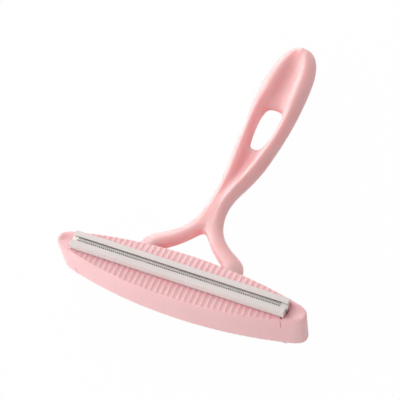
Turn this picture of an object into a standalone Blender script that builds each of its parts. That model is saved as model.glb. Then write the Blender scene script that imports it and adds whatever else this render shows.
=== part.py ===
"""Double-sided lint remover for clothes: a pink T-shaped hand tool. Its lens-shaped head has
grooved faces and carries a steel toothed strip in a white bar on the front and on the rear.

The tool lies flat with its front up. X runs along the head, +Y towards the handle, +Z out of the
front face. Sizes are millimetres, and points turn into metres where vertices are made.
"""

import math

import bmesh
import bpy
import numpy as np
from mathutils import Vector

MM = 0.001

# General
GAP = 0.3  # clearance between pieces that touch
BITE = 1.0  # how far a cutter runs past the face that it cuts
LEAST_STEP = 0.5  # between the points of an outline

# Head outline, seen from the front
HEAD_HALF_LENGTH = 76.3
HEAD_HALF_WIDTH = 15.0
HEAD_END_HALF_WIDTH = 4.3  # of the side arcs where they meet the ends
END_ROUND_LENGTH = 7.3  # the last part of each end, which rounds off
END_SQUARENESS = 2.8  # 2 is an ellipse, more is blunter
OUTLINE_STEPS = 9  # facets along half of a side arc
END_STEPS = 6  # facets round one corner of an end

# Head shells, one in front and one behind, meeting on the mid-plane
FACE_AT_BAR = 11.5  # height of the crowned face above the mid-plane, next to the bar
RIM_HEIGHT = 10.4  # and at the rim in the middle of the head
RIM_ROUND = 0.9
SHELL_WALL = 2.0
SHELL_LEDGE = 0.4  # the upper half of a shell's long wall is this much thicker
FACE_WALL = 2.2
SIDE_POCKET_REACH = 0.655  # as a share of the head's half-length

# Grooves across the face, from the bar to the rim
GROOVE_WIDTH = 2.5
LAND_WIDTH = 0.905  # of the ridge between two grooves
GROOVE_FLOOR_WIDTH = 1.3
GROOVE_DEPTH = 0.35
GROOVE_END_SLOPE = 1.1
GROOVE_RIM = 0.4  # left between the end of a groove and the head's wall
GROOVE_FIELD_MARGIN = 4.5  # from the last groove to the bar's end

# Dished ends
DISH_RIM = 1.5
DISH_DEPTH = 1.0
DISH_SLOPE = 3.4  # width of the slope from the rim down to the dish's floor

# White holder bars
BAR_END_MARGIN = 10.8  # from the bar's end to the head's
BAR_HALF_WIDTH = 4.95
BAR_TOP = 15.9
BAR_SHOULDER_ROUND = 1.5
BAR_CORNER_ROUND = 0.7  # of the bar's four upright corners
BAR_TOP_END_ROUND = 1.2  # where the top turns down into the end
LUG_LENGTH = 0.9
LUG_HALF_WIDTH = 2.2
LUG_HEIGHT = 1.4

# Tray in each shell that the bar sits in
TRAY_FLOOR = 7.0  # above the mid-plane
TRAY_FLOOR_WALL = 2.0
TRAY_SIDE_WALL = 1.6

# Steel toothed strips
TOOTH_PITCH = 1.285
TOOTHLESS_END = 3.2  # at least this much of the bar's length has no teeth beside it
TOOTH_HEIGHT = 1.15  # of the tips above the strip's floor
TOOTH_ROOT_HEIGHT = 0.3
TOOTH_LEAN = 0.38  # how far a tooth leans in for each millimetre that it rises
PLAIN_EDGE_HEIGHT = 0.15  # of the strip's edges where it has no teeth
STRIP_HALF_WIDTH = 1.4
STRIP_THICKNESS = 0.35
STRIP_EDGE_THICKNESS = 0.45
STRIP_RECESS = 0.85  # of the strip's floor below the bar's top
TAB_BOTTOM = 9.2  # the end tabs of the strip reach down to here, above the lugs
TAB_BEND_RADIUS = 2.6
PLAIN_END = 0.4  # from the last tooth to where the edges are plain

# Handle: the stem, the grip with its finger hole, and the fork with two arms
CROTCH = 34.4
STEM_START = 41.5
HOLE_BOTTOM = 107.0
HOLE_TOP = 138.2
HANDLE_TIP = 187.5
GRIP_HALF_WIDTH = 16.0
GRIP_HALF_THICKNESS = 6.7
HANDLE_SWING = 6.1  # the stem rises this far above the mid-plane before the grip dips below it
FOOT_MIDDLE = 27.0  # of each foot, from the head's middle
FOOT_LEVEL = 4.7  # of the feet's middle above the mid-plane
FOOT_HALF_THICKNESS = 4.1

# Tenons on the feet, trapped between the shells
TENON_HALF_WIDTH = 3.8
TENON_LOW = 0.5
TENON_HIGH = 4.4
EYE_RADIUS = 5.4
TENON_ROOT = 3.0  # how far a tenon reaches into its foot

# Screws under the rear bar, and the shells' bosses that they pass through
END_SCREW_MARGIN = 7.5  # from the end of the bar to the screw nearest to it
SCREW_RADIUS = 1.25
SCREW_HEAD_RADIUS = 2.4
SCREW_HEAD_HEIGHT = 1.4
SCREW_HEAD_ROUND = 0.35
SCREW_RECESS = 0.5
SCREW_TIP_LEVEL = 4.2
SCREW_POINT = 0.8  # length of the tapered point
BOSS_RADIUS = 3.3
SCREW_SIDES = 12

# Small notch and slit at one end of the bar
NOTCH_FROM_END = 1.0  # of the bar
NOTCH_RADIUS = 0.55
NOTCH_DEPTH = 1.5
SLIT_WIDTH = 0.3
SLIT_DEPTH = 0.4
SLIT_BOTTOM = 4.8

# Lengths and places that follow from the sizes above
END_ROUND_FROM = HEAD_HALF_LENGTH - END_ROUND_LENGTH
BAR_HALF_LENGTH = HEAD_HALF_LENGTH - BAR_END_MARGIN
GROOVE_PITCH = GROOVE_WIDTH + LAND_WIDTH
TOOTH_COUNT = 2 * int((BAR_HALF_LENGTH - TOOTHLESS_END) / TOOTH_PITCH) + 1
END_SCREW = BAR_HALF_LENGTH - END_SCREW_MARGIN
SCREW_PLACES = (-END_SCREW, -FOOT_MIDDLE, FOOT_MIDDLE, END_SCREW)
NOTCH_PLACE = (BAR_HALF_LENGTH - NOTCH_FROM_END, -BAR_HALF_WIDTH - NOTCH_RADIUS)
STRIP_FLOOR = BAR_TOP - STRIP_RECESS
TAB_OUTER = BAR_HALF_LENGTH + GAP + STRIP_THICKNESS  # where the strip's end tab stands

PINK = (0.896, 0.533, 0.545)
WHITE = (0.79, 0.74, 0.71)
STEEL = (0.60, 0.57, 0.54)


def material(name, color, roughness, metallic=0.0):
    made = bpy.data.materials.new(name)
    made.use_nodes = True
    shader = made.node_tree.nodes["Principled BSDF"]
    shader.inputs["Base Color"].default_value = (*color, 1.0)
    shader.inputs["Roughness"].default_value = roughness
    shader.inputs["Metallic"].default_value = metallic
    made.diffuse_color = (*color, 1.0)
    return made


def mesh_object(name, rings, cap_start=True, cap_end=True, look=None):
    """One closed solid skinned over rings of points, each ring as long as the last."""
    bm = bmesh.new()
    rows = [[bm.verts.new(Vector(point) * MM) for point in ring] for ring in rings]
    for first, second in zip(rows, rows[1:]):
        for i in range(len(first)):
            j = (i + 1) % len(first)
            bm.faces.new((first[i], first[j], second[j], second[i]))
    if cap_start:
        bm.faces.new(rows[0])
    if cap_end:
        bm.faces.new(rows[-1])
    return finish_object(name, bm, look)


def finish_object(name, bm, look=None):
    """Turns a bmesh into an object on the tool's frame, or into a cutter if it has no look."""
    bmesh.ops.recalc_face_normals(bm, faces=bm.faces[:])
    mesh = bpy.data.meshes.new(name)
    bm.to_mesh(mesh)
    bm.free()
    made = bpy.data.objects.new(name, mesh)
    bpy.context.scene.collection.objects.link(made)
    made.parent = tool
    if look is None:
        made.hide_render = True
        made.display_type = "WIRE"
        made.hide_set(True)
    else:
        mesh.materials.append(look)
        mesh.shade_smooth()
        mesh.set_sharp_from_angle(angle=math.radians(35))
    return made


def boolean(target, other, operation):
    modifier = target.modifiers.new(f"{operation.lower()} {other.name}", "BOOLEAN")
    modifier.operation = operation
    modifier.object = other
    modifier.solver = "EXACT"
    return modifier


def cut(target, other):
    return boolean(target, other, "DIFFERENCE")


def box_rings(x0, x1, y0, y1, z0, z1):
    return [[(x0, y0, z), (x1, y0, z), (x1, y1, z), (x0, y1, z)] for z in (z0, z1)]


def round_rings(x, y, levels, sides=SCREW_SIDES):
    """Rings of a turned shape about a vertical axis: levels holds (z, radius) pairs."""
    turns = [2 * math.pi * i / sides for i in range(sides)]
    return [[(x + r * math.cos(a), y + r * math.sin(a), z) for a in turns] for z, r in levels]


# The side of the head is an arc through the middle half-width and the end half-width.
SAG = HEAD_HALF_WIDTH - HEAD_END_HALF_WIDTH
SIDE_RADIUS = (HEAD_HALF_LENGTH**2 + SAG**2) / (2 * SAG)


def half_width(x):
    side = math.sqrt(SIDE_RADIUS**2 - x * x) - (SIDE_RADIUS - HEAD_HALF_WIDTH)
    past = max(0.0, (abs(x) - END_ROUND_FROM) / (HEAD_HALF_LENGTH - END_ROUND_FROM))
    return side * max(0.0, 1 - past**END_SQUARENESS) ** (1 / END_SQUARENESS)


def face_height(y):
    """The crowned face falls off from the bar to the rim."""
    fall = (FACE_AT_BAR - RIM_HEIGHT) / (HEAD_HALF_WIDTH**2 - BAR_HALF_WIDTH**2)
    return FACE_AT_BAR - fall * (y * y - BAR_HALF_WIDTH**2)


def quarter_stations():
    """Values of x from the middle of the head to its end, close together round the corner."""
    along = [END_ROUND_FROM * i / OUTLINE_STEPS for i in range(OUTLINE_STEPS)]
    reach = HEAD_HALF_LENGTH - END_ROUND_FROM
    turned = [math.sin(0.5 * math.pi * i / END_STEPS) ** 0.75 for i in range(END_STEPS + 1)]
    return along + [END_ROUND_FROM + reach * t for t in turned]


def inset_point(x, inset):
    """The point of the head's outline at x >= 0, moved inwards along the outline's normal."""
    if x >= HEAD_HALF_LENGTH - 1e-6:
        return HEAD_HALF_LENGTH - inset, 0.0
    step = 1e-3
    slope = (half_width(x + step) - half_width(x - step)) / (2 * step) if x > 0 else 0.0
    length = math.hypot(1.0, slope)
    return x + inset * slope / length, half_width(x) - inset / length


def outline(inset=0.0, start=None):
    """The head's outline as (x, y) points, or only its +X end from x = start on."""
    stations = quarter_stations()
    quarter = [inset_point(x, inset) for x in stations]
    if start is not None:
        # A deeper inset has moved further back, and every ring keeps the same points.
        deepest = DISH_RIM + DISH_SLOPE
        kept = [inset_point(x, deepest)[0] > start + LEAST_STEP for x in stations]
        ahead = [point for point, keep in zip(quarter, kept) if keep]
        quarter = [(start, half_width(start) - inset)] + ahead
    right = quarter + [(x, -y) for x, y in reversed(quarter[:-1])]
    if start is not None:
        return right
    left = [(-x, y) for x, y in reversed(right) if x > 1e-9]
    return right + left


def ring_at(inset, level, side, follow_face=True):
    """One ring of the head's outline. Level is below the face, or above the mid-plane."""
    ring = []
    for x, y in outline(inset):
        z = face_height(y) - level if follow_face else level
        ring.append((x, y, side * z))
    return ring


def shell_solid(name, side, look):
    """Half of the head as a plain solid: side is 1 for the front and -1 for the rear."""
    base = ring_at(0.0, GAP / 2, side, follow_face=False)
    rings = [base, ring_at(0.0, RIM_ROUND, side)]
    for turn in (30, 60, 90):
        angle = math.radians(turn)
        inset = RIM_ROUND * (1 - math.cos(angle))
        rings.append(ring_at(inset, RIM_ROUND * (1 - math.sin(angle)), side))
    bm = bmesh.new()
    rows = [[bm.verts.new(Vector(point) * MM) for point in ring] for ring in rings]
    count = len(base)
    for first, second in zip(rows, rows[1:]):
        for i in range(count):
            j = (i + 1) % count
            bm.faces.new((first[i], first[j], second[j], second[i]))
    across(bm, rows[0], ())
    across(bm, rows[-1], (0.62, 0.24, -0.24, -0.62), side)
    return finish_object(name, bm, look)


def across(bm, row, shares, side=1):
    """Closes an outline ring with bands across the head, crowned at the shares of its width."""
    stations = {}
    for vert in row:
        stations.setdefault(round(vert.co.x / MM, 3), []).append(vert)
    lines = []
    for x in sorted(stations):
        ends = sorted(stations[x], key=lambda vert: -vert.co.y)
        if len(ends) == 1:
            lines.append(ends)
            continue
        reach = ends[0].co.y
        line = [ends[0]]
        for share in shares:
            height = side * face_height(reach * share / MM) * MM
            line.append(bm.verts.new((ends[0].co.x, reach * share, height)))
        lines.append(line + [ends[1]])
    for first, second in zip(lines, lines[1:]):
        for i in range(max(len(first), len(second)) - 1):
            a = first[min(i, len(first) - 1)], first[min(i + 1, len(first) - 1)]
            b = second[min(i + 1, len(second) - 1)], second[min(i, len(second) - 1)]
            bm.faces.new(list(dict.fromkeys(a + b)))


def pocket(side):
    """The hollow of a shell under its face, beside the tray, open to the mid-plane."""
    rings = [ring_at(SHELL_WALL, -BITE, side, follow_face=False)]
    rings.append(ring_at(SHELL_WALL, TRAY_FLOOR - TRAY_FLOOR_WALL, side, follow_face=False))
    return mesh_object(f"pocket_{side}", rings)


def side_pocket(side, hand):
    """The deeper hollow between the tray's side wall and the shell's long wall."""
    inner = BAR_HALF_WIDTH + GAP + TRAY_SIDE_WALL
    rings = []
    for i in range(OUTLINE_STEPS + 1):
        x = SIDE_POCKET_REACH * HEAD_HALF_LENGTH * (2 * i / OUTLINE_STEPS - 1)
        outer = half_width(x) - SHELL_WALL - SHELL_LEDGE
        top = RIM_HEIGHT - FACE_WALL
        low = TRAY_FLOOR - TRAY_FLOOR_WALL - BITE
        section = [(inner, low), (outer, low), (outer, top), (inner, top)]
        rings.append([(x, hand * y, side * z) for y, z in section])
    return mesh_object(f"side_pocket_{side}_{hand}", rings)


def slot(side):
    """The tray's hollow for a bar, with recesses at each end for the strip's tab and the lug."""
    top = FACE_AT_BAR + 2 * BITE
    bar = BAR_HALF_LENGTH + GAP
    tab = bar + STRIP_THICKNESS + GAP
    lug = tab + LUG_LENGTH
    hollows = (
        ("slot", bar, BAR_HALF_WIDTH + GAP, TRAY_FLOOR, top),
        ("tab_recess", tab, STRIP_HALF_WIDTH + GAP, TRAY_FLOOR, top),
        ("lug_recess", lug, LUG_HALF_WIDTH + GAP, TRAY_FLOOR, TRAY_FLOOR + LUG_HEIGHT + 2 * GAP),
    )
    made = []
    for name, reach, wide, low, high in hollows:
        rings = side_rings(box_rings(-reach, reach, -wide, wide, low, high), side)
        made.append(mesh_object(f"{name}_{side}", rings))
    return made


def side_rings(rings, side):
    return [[(x, y, side * z) for x, y, z in ring] for ring in rings]


def groove_places():
    """Middles of the grooves along the head, with a ridge in the middle of the head."""
    reach = BAR_HALF_LENGTH - GROOVE_FIELD_MARGIN - GROOVE_WIDTH / 2
    count = int(reach / GROOVE_PITCH + 0.5)
    return [GROOVE_PITCH * (i + 0.5) for i in range(-count, count)]


def grooves(side):
    """All grooves of one face as one cutter, each a trough with a sloped outer end."""
    bm = bmesh.new()
    floor = GROOVE_FLOOR_WIDTH / 2
    flare = GROOVE_WIDTH / 2 - floor
    # Above the face the cutters of two neighbours stay apart.
    spare = 0.3 * LAND_WIDTH
    lift = spare * GROOVE_DEPTH / flare
    for x in groove_places():
        end = half_width(x) - GROOVE_RIM
        full = end - GROOVE_END_SLOPE
        for hand in (-1, 1):
            rings = []
            for y, share in ((BAR_HALF_WIDTH - BITE, 1.0), (full, 1.0), (end, 0.0)):
                level = face_height(y)
                depth = GROOVE_DEPTH * share
                narrow = floor * max(share, 0.3)
                wide = floor + (flare + spare) * share
                section = [
                    (x - narrow, level - depth),
                    (x + narrow, level - depth),
                    (x + wide, level + lift),
                    (x - wide, level + lift),
                ]
                rings.append([(a, hand * y, side * z) for a, z in section])
            rows = [[bm.verts.new(Vector(point) * MM) for point in ring] for ring in rings]
            for first, second in zip(rows, rows[1:]):
                for i in range(4):
                    j = (i + 1) % 4
                    bm.faces.new((first[i], first[j], second[j], second[i]))
            bm.faces.new(rows[0])
            bm.faces.new(rows[-1])
    return finish_object(f"grooves_{side}", bm)


def dish(side, hand):
    """The scooped hollow between the end of the bar and the head's rounded end rim."""
    start = BAR_HALF_LENGTH - GAP
    top = FACE_AT_BAR
    levels = [(DISH_RIM - BITE, top + BITE)]
    for share in (0.0, 0.25, 0.55, 1.0):
        drop = DISH_DEPTH * math.sin(0.5 * math.pi * share)
        levels.append((DISH_RIM + DISH_SLOPE * share, top - drop))
    rings = []
    for inset, z in levels:
        rings.append([(hand * x, y, side * z) for x, y in outline(inset, start)])
    return mesh_object(f"dish_{side}_{hand}", rings)


def screw_hole(side, x):
    """A screw's way through the tray floor and the boss of one shell."""
    hole = SCREW_RADIUS + GAP
    if side > 0:
        levels = [(-BITE, hole), (SCREW_TIP_LEVEL + GAP, hole)]
        return mesh_object(f"screw_hole_front_{x:.0f}", round_rings(x, 0.0, levels))
    seat = TRAY_FLOOR - SCREW_HEAD_HEIGHT - GAP
    wide = SCREW_HEAD_RADIUS + GAP
    levels = [(BITE, hole), (-seat, hole), (-seat, wide), (-TRAY_FLOOR - BITE, wide)]
    return mesh_object(f"screw_hole_rear_{x:.0f}", round_rings(x, 0.0, levels))


def boss(side, x):
    levels = [(side * GAP / 2, BOSS_RADIUS), (side * (TRAY_FLOOR - TRAY_FLOOR_WALL / 2), BOSS_RADIUS)]
    return mesh_object(f"boss_{side}_{x:.0f}", round_rings(x, 0.0, levels))


def make_shell(name, side, look):
    shell = shell_solid(name, side, look)
    cut(shell, pocket(side))
    for hand in (-1, 1):
        cut(shell, side_pocket(side, hand))
    for x in SCREW_PLACES:
        boolean(shell, boss(side, x), "UNION")
    for cutter in slot(side):
        cut(shell, cutter)
    for x in SCREW_PLACES:
        cut(shell, screw_hole(side, x))
    cut(shell, grooves(side))
    cut_notch(shell, side)
    for hand in (-1, 1):
        cut(shell, dish(side, hand))
    if side > 0:
        for hand in (-1, 1):
            reach = TENON_HALF_WIDTH + GAP
            middle = hand * FOOT_MIDDLE
            rings = box_rings(
                middle - reach, middle + reach, 0.0, HEAD_HALF_WIDTH + BITE, -BITE, TENON_HIGH + GAP
            )
            cut(shell, boss_free(mesh_object(f"tenon_way_{hand}", rings), middle))
    return shell


def boss_free(cutter, x):
    """Leaves the screw boss standing in the tenon's way: the tenon's eye goes round it."""
    levels = [(-2 * BITE, BOSS_RADIUS), (TRAY_FLOOR, BOSS_RADIUS)]
    cut(cutter, mesh_object(f"boss_keep_{x:.0f}", round_rings(x, 0.0, levels)))
    return cutter


def cut_notch(shell, side):
    """The small round notch by one corner of the bar, and the slit that runs down the wall.

    The rear shell is the front one turned over about the handle, so its notch is at the other end.
    """
    x, y = side * NOTCH_PLACE[0], NOTCH_PLACE[1]
    top = face_height(y)
    half = SLIT_WIDTH / 2
    outer = -half_width(x) - BITE
    inner = -half_width(x) + SLIT_DEPTH
    rings = box_rings(x - half, x + half, outer, inner, SLIT_BOTTOM, top + BITE)
    cut(shell, mesh_object(f"slit_{side}", side_rings(rings, side)))
    levels = [(side * (top - NOTCH_DEPTH), NOTCH_RADIUS), (side * (top + BITE), NOTCH_RADIUS)]
    cut(shell, mesh_object(f"notch_{side}", round_rings(x, y, levels, 10)))


def rounding(x, end, radius):
    """How far a face with a rounded end has dropped at x."""
    past = min(radius, max(0.0, abs(x) - (end - radius)))
    return radius - math.sqrt(radius**2 - past**2)


def groove_bottom(x):
    """The bar's groove falls away at its ends, where the strip bends down."""
    level = STRIP_FLOOR - STRIP_THICKNESS - GAP
    return level - rounding(x, BAR_HALF_LENGTH, TAB_BEND_RADIUS - STRIP_THICKNESS - GAP)


def make_bar(name, side, look):
    """A holder bar: a long block with a groove for the strip, rounded ends and snap lugs."""
    bend = TAB_BEND_RADIUS - STRIP_THICKNESS - GAP
    drops = [(bend, a) for a in (0, 25, 45)] + [(BAR_TOP_END_ROUND, a) for a in (0, 30)]
    drops += [(BAR_CORNER_ROUND, a) for a in (0, 30, 60, 90)]
    ahead = {round(BAR_HALF_LENGTH - r * (1 - math.sin(math.radians(a))), 3) for r, a in drops}
    half = sorted(ahead | {0.0})
    groove = STRIP_HALF_WIDTH + GAP
    low = TRAY_FLOOR + GAP
    soft = BAR_SHOULDER_ROUND
    rings = []
    for x in [-x for x in reversed(half) if x > 0] + half:
        wide = BAR_HALF_WIDTH - rounding(x, BAR_HALF_LENGTH, BAR_CORNER_ROUND)
        top = BAR_TOP - rounding(x, BAR_HALF_LENGTH, BAR_TOP_END_ROUND)
        section = [
            (wide, low),
            (wide, top - soft),
            (wide - 0.3 * soft, top - 0.3 * soft),
            (wide - soft, top),
            (groove, top),
            (groove, groove_bottom(x)),
        ]
        ring = section + [(-y, z) for y, z in reversed(section)]
        rings.append([(x, y, side * z) for y, z in ring])
    bar = mesh_object(name, rings, look=look)
    reach = TAB_OUTER + LUG_LENGTH
    lug = box_rings(-reach, reach, -LUG_HALF_WIDTH, LUG_HALF_WIDTH, low, low + LUG_HEIGHT)
    boolean(bar, mesh_object(f"lugs_{side}", side_rings(lug, side)), "UNION")
    return bar


def strip_stations():
    """Places along the strip from end to end as (x, z, direction, wall height above its floor)."""
    right = []
    for i in range(TOOTH_COUNT % 2, TOOTH_COUNT + 1):
        x = TOOTH_PITCH * i / 2
        at_root = (i + TOOTH_COUNT) % 2 == 0
        right.append((x, STRIP_FLOOR, 0.0, TOOTH_ROOT_HEIGHT if at_root else TOOTH_HEIGHT))
    if TOOTH_COUNT % 2:
        right.insert(0, (0.0, STRIP_FLOOR, 0.0, TOOTH_HEIGHT))
    # Past the teeth the strip is plain, and bends down over the end of the bar.
    plain = PLAIN_EDGE_HEIGHT
    bend = TAB_BEND_RADIUS
    right.append((right[-1][0] + PLAIN_END, STRIP_FLOOR, 0.0, plain))
    for turn in (0, 30, 60, 90):
        angle = math.radians(turn)
        x = TAB_OUTER - bend * (1 - math.sin(angle))
        z = STRIP_FLOOR - bend * (1 - math.cos(angle))
        right.append((x, z, -angle, plain))
    right.append((TAB_OUTER, TAB_BOTTOM, -math.pi / 2, plain))
    left = [(-x, z, -angle, height) for x, z, angle, height in reversed(right) if x > 0]
    return left + right


def make_strip(name, side, look):
    """A steel strip, a shallow channel whose two edges are cut into small teeth."""
    rings = []
    edge = STRIP_HALF_WIDTH
    for x, z, angle, height in strip_stations():
        # The section's own up direction leans with the strip's path.
        up_x, up_z = -math.sin(angle), math.cos(angle)
        tip = edge - TOOTH_LEAN * height
        section = [
            (edge, -STRIP_THICKNESS),
            (tip, height),
            (edge - STRIP_EDGE_THICKNESS, 0.0),
            (-edge + STRIP_EDGE_THICKNESS, 0.0),
            (-tip, height),
            (-edge, -STRIP_THICKNESS),
        ]
        rings.append([(x + up_x * h, y, side * (z + up_z * h)) for y, h in section])
    return mesh_object(name, rings, look=look)


def make_screw(name, x, look):
    """A self-tapping screw that goes in from the rear tray, under the rear bar."""
    head = -(TRAY_FLOOR - GAP / 2)
    under = head + SCREW_HEAD_HEIGHT
    levels = [
        (head + SCREW_RECESS, SCREW_HEAD_RADIUS * 0.3),
        (head, SCREW_HEAD_RADIUS * 0.5),
        (head, SCREW_HEAD_RADIUS * 0.85),
        (head + SCREW_HEAD_ROUND, SCREW_HEAD_RADIUS),
        (under, SCREW_HEAD_RADIUS),
        (under, SCREW_RADIUS),
        (SCREW_TIP_LEVEL - SCREW_POINT, SCREW_RADIUS),
        (SCREW_TIP_LEVEL, SCREW_RADIUS * 0.5),
    ]
    return mesh_object(name, round_rings(x, 0.0, levels), look=look)


# Stations of the handle from the fork up to the tip, in three stretches. Each has its place as a
# share of its stretch, then its half-width as a share of the grip's, its middle level as a share
# of the swing, its half-thickness at the rim crests and along the middle line as shares of the
# grip's, the places of the crests and the inner lines as shares of its own half-width, and how
# far the inner lines rise from the middle line's thickness to the crests'.
STEM = (
    (0.0, 0.55, 0.98, 0.52, 0.58, 0.59, 0.25, 0.2),
    (0.115, 0.438, 1.0, 0.615, 0.73, 0.56, 0.23, 0.2),
    (0.252, 0.394, 0.85, 0.72, 0.79, 0.556, 0.24, 0.2),
    (0.405, 0.438, 0.44, 0.81, 0.72, 0.586, 0.243, 0.3),
    (0.588, 0.58, -0.1, 0.91, 0.5, 0.6, 0.26, 0.42),
    (0.756, 0.694, -0.41, 0.96, 0.32, 0.64, 0.3, 0.48),
    (0.893, 0.77, -0.475, 0.98, 0.25, 0.68, 0.34, 0.4),
)
HOLE = (
    (0.0, 0.8, -0.51, 1.0, 0.209, 0.72, 0.29, 0.2),
    (0.256, 0.85, -0.525, 1.0, 0.209, 0.728, 0.404, 0.2),
    (0.513, 0.9, -0.475, 1.0, 0.209, 0.722, 0.4375, 0.2),
    (0.769, 0.944, -0.345, 1.0, 0.209, 0.7, 0.444, 0.2),
    (1.0, 0.981, -0.18, 1.0, 0.209, 0.662, 0.36, 0.2),
)
GRIP_END = (
    (0.158, 1.0, -0.016, 1.0, 0.28, 0.64, 0.27, 0.35),
    (0.361, 0.994, 0.13, 1.0, 0.35, 0.63, 0.25, 0.4),
    (0.564, 0.95, 0.246, 0.97, 0.45, 0.6, 0.25, 0.4),
    (0.716, 0.875, 0.39, 0.91, 0.7, 0.57, 0.24, 0.4),
    (0.838, 0.744, 0.557, 0.78, 0.86, 0.52, 0.23, 0.4),
    (0.935, 0.555, 0.705, 0.56, 0.74, 0.5, 0.23, 0.4),
    (1.0, 0.3, 0.78, 0.26, 0.44, 0.5, 0.23, 0.4),
)

# An arm's stations from the fork to the foot: the outer and the inner edge's place, x as a share
# of the foot's and y of the crotch's, then the middle level and the half-thickness as shares of
# the foot's. The last one lies inside the head, where the foot is cut to the wall.
ARM = (
    ((0.452, 1.035), (0.122, 0.959), 1.255, 0.9),
    ((0.615, 0.901), (0.304, 0.779), 1.19, 0.927),
    ((0.815, 0.791), (0.504, 0.637), 1.106, 0.95),
    ((1.044, 0.703), (0.689, 0.541), 1.043, 0.976),
    ((1.2, 0.57), (0.793, 0.453), 1.0, 1.0),
    ((1.226, 0.349), (0.807, 0.32), 1.0, 1.0),
    ((1.226, 0.145), (0.793, 0.145), 1.0, 1.0),
)
# The arms' cage, which the smooth skin lies inside: places across an arm from its inner edge
ARM_OUTER_PLACE = 1.14
ARM_CREST_PLACE = 0.58
ARM_INNER_PLACE = -0.1
ARM_CAGE_THICKNESS = 1.25  # for each millimetre of the arm's own
CROTCH_PLACE = 0.988  # of the cage's own corner there


def handle_stations():
    """Every station of the stem and grip with its y, from the fork to the tip."""
    stretches = (
        (STEM, STEM_START, HOLE_BOTTOM),
        (HOLE, HOLE_BOTTOM, HOLE_TOP),
        (GRIP_END, HOLE_TOP, HANDLE_TIP),
    )
    made = []
    for stations, low, high in stretches:
        for place, *shares in stations:
            made.append((low + (high - low) * place, *shares))
    return made


def grip_ring(station):
    """Twelve points round the handle: outer edge, crest, inner line and middle, both faces."""
    y, width, rise, rim, middle_line, crest_place, inner_place, inner_rise = station
    half = GRIP_HALF_WIDTH * width
    middle = HANDLE_SWING * rise
    thick = GRIP_HALF_THICKNESS * rim
    web = GRIP_HALF_THICKNESS * middle_line
    crest = half * crest_place
    inner = half * inner_place
    # A smoothed ring passes inside its corners by a sixth of each neighbour's distance.
    edge = 1.5 * half - 0.5 * crest
    deep = web + inner_rise * (thick - web)
    top = 1.5 * thick - 0.25 * deep
    low = 1.5 * web - 0.5 * deep
    front = [(-edge, 0), (-crest, top), (-inner, deep), (0, low), (inner, deep), (crest, top)]
    back = [(edge, 0), (crest, -top), (inner, -deep), (0, -low), (-inner, -deep), (-crest, -top)]
    return [(x, y, middle + z) for x, z in front + back]


def arm_ring(station, hand):
    """Five points round an arm: outer edge, crest and inner edge in front, then behind."""
    outer, inner, level, thick = station
    out_x, out_y = outer[0] * FOOT_MIDDLE, outer[1] * CROTCH
    in_x, in_y = inner[0] * FOOT_MIDDLE, inner[1] * CROTCH
    middle = level * FOOT_LEVEL
    top = ARM_CAGE_THICKNESS * thick * FOOT_HALF_THICKNESS

    def corner(place, z):
        return hand * (in_x + place * (out_x - in_x)), in_y + place * (out_y - in_y), z

    return [
        corner(ARM_OUTER_PLACE, middle),
        corner(ARM_CREST_PLACE, middle + top),
        corner(ARM_INNER_PLACE, middle + top),
        corner(ARM_INNER_PLACE, middle - top),
        corner(ARM_CREST_PLACE, middle - top),
    ]


def handle_cage(bm):
    """The coarse cage that the handle's smooth skin is drawn from."""

    def add(points):
        return [bm.verts.new(Vector(point) * MM) for point in points]

    rows = [add(grip_ring(station)) for station in handle_stations()]
    low = len(STEM)
    high = low + len(HOLE) - 1
    open_columns = (2, 3, 8, 9)
    for k, (first, second) in enumerate(zip(rows, rows[1:])):
        for i in range(12):
            if low <= k < high and i in open_columns:
                continue
            j = (i + 1) % 12
            bm.faces.new((first[i], first[j], second[j], second[i]))
        if low <= k < high:
            bm.faces.new((first[2], first[10], second[10], second[2]))
            bm.faces.new((first[4], first[8], second[8], second[4]))
    # Ends of the hole
    for row in (rows[low], rows[high]):
        bm.faces.new((row[2], row[3], row[9], row[10]))
        bm.faces.new((row[3], row[4], row[8], row[9]))
    # Tip
    tip = rows[-1]
    bm.faces.new((tip[0], tip[1], tip[11]))
    bm.faces.new((tip[1], tip[2], tip[10], tip[11]))
    bm.faces.new((tip[2], tip[3], tip[9], tip[10]))
    bm.faces.new((tip[3], tip[4], tip[8], tip[9]))
    bm.faces.new((tip[4], tip[5], tip[7], tip[8]))
    bm.faces.new((tip[5], tip[6], tip[7]))
    # Fork: the middle of the crotch, then an arm to each side
    stem = rows[0]
    left = [add(arm_ring(station, -1)) for station in ARM]
    right = [add(arm_ring(station, 1)) for station in ARM]
    middle = ARM[0][2] * FOOT_LEVEL
    thick = ARM[0][3] * FOOT_HALF_THICKNESS
    y = CROTCH * CROTCH_PLACE
    front, behind = add([(0.0, y, middle + thick), (0.0, y, middle - thick)])
    a, b = left[0], right[0]
    lower = [a[0], a[1], a[2], front, b[2], b[1], b[0], b[4], b[3], behind, a[3], a[4]]
    for i in range(12):
        j = (i + 1) % 12
        bm.faces.new((stem[i], stem[j], lower[j], lower[i]))
    bm.faces.new((a[2], front, behind, a[3]))
    bm.faces.new((front, b[2], b[3], behind))
    for arm in (left, right):
        for first, second in zip(arm, arm[1:]):
            for i in range(5):
                j = (i + 1) % 5
                bm.faces.new((first[i], first[j], second[j], second[i]))
        last = arm[-1]
        bm.faces.new((last[0], last[1], last[4]))
        bm.faces.new((last[1], last[2], last[3], last[4]))


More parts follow.
